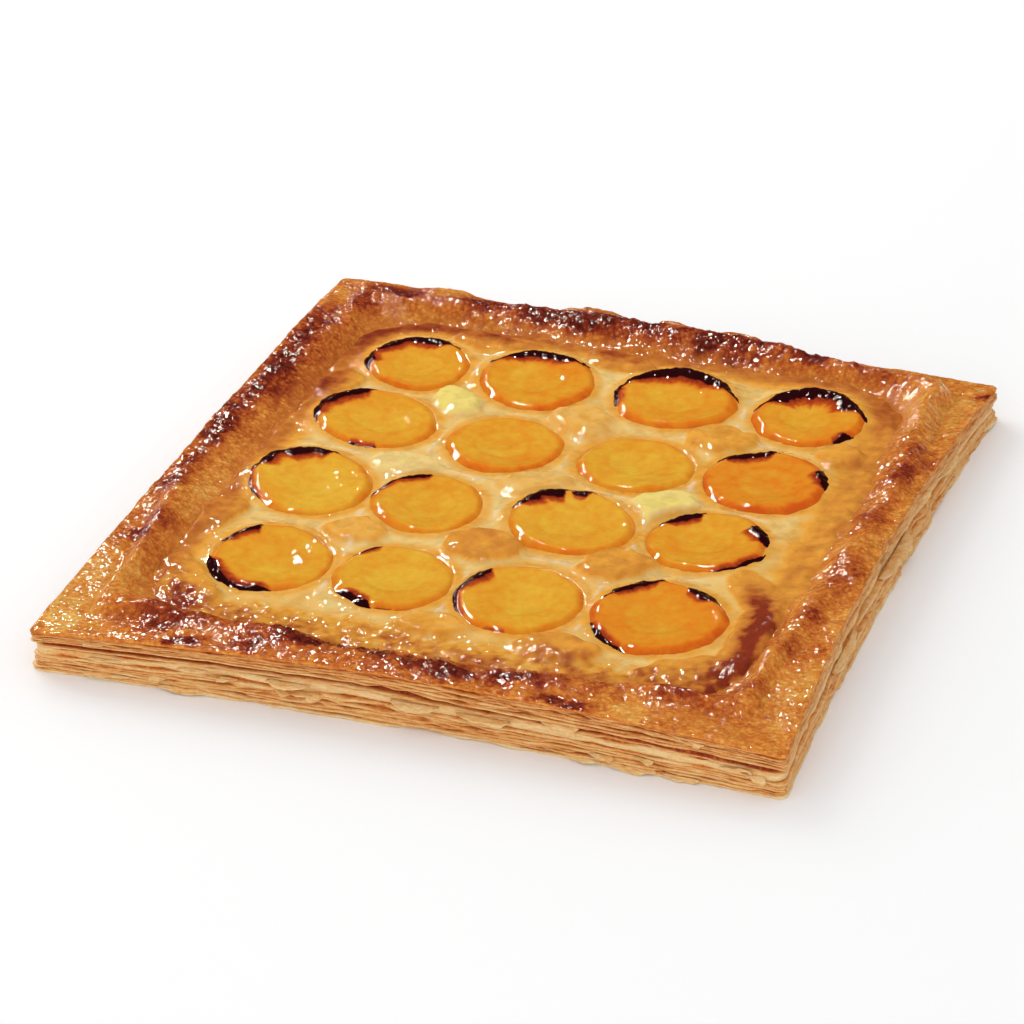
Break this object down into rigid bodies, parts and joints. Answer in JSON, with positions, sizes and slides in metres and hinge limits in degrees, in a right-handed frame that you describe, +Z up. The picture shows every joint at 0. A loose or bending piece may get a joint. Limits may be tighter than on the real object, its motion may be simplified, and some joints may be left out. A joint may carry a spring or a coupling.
{
  "type": "apricot tart",
  "caption": "Square puff-pastry tart with a raised flaky rim, filled with cream and set with rows of roasted apricot halves, cut faces up.",
  "frame": {"origin": "middle of the flat underside of the tart, at the centre of its bounding box", "axes": "+Z up through the tart's thickness, +Y from the front side to the back side, +X to the right along the front side"},
  "size_m": [0.246, 0.2582, 0.0208],
  "materials": {
    "crust": "baked puff pastry, egg-washed and browned on top, pale and flaky at the sides",
    "cream": "baked almond cream under a thin clear glaze, pale yellow to light brown",
    "apricot": "roasted apricot flesh, moist and glazed, with charred edges"
  },
  "bodies": {
    "root": {"pastry": "crust", "filling": "cream", "apricot_half_01": "apricot", "apricot_half_02": "apricot", "apricot_half_03": "apricot", "apricot_half_04": "apricot", "apricot_half_05": "apricot", "apricot_half_06": "apricot", "apricot_half_07": "apricot", "apricot_half_08": "apricot", "apricot_half_09": "apricot", "apricot_half_10": "apricot", "apricot_half_11": "apricot", "apricot_half_12": "apricot", "apricot_half_13": "apricot", "apricot_half_14": "apricot", "apricot_half_15": "apricot", "apricot_half_16": "apricot"}
  },
  "joints": []
}
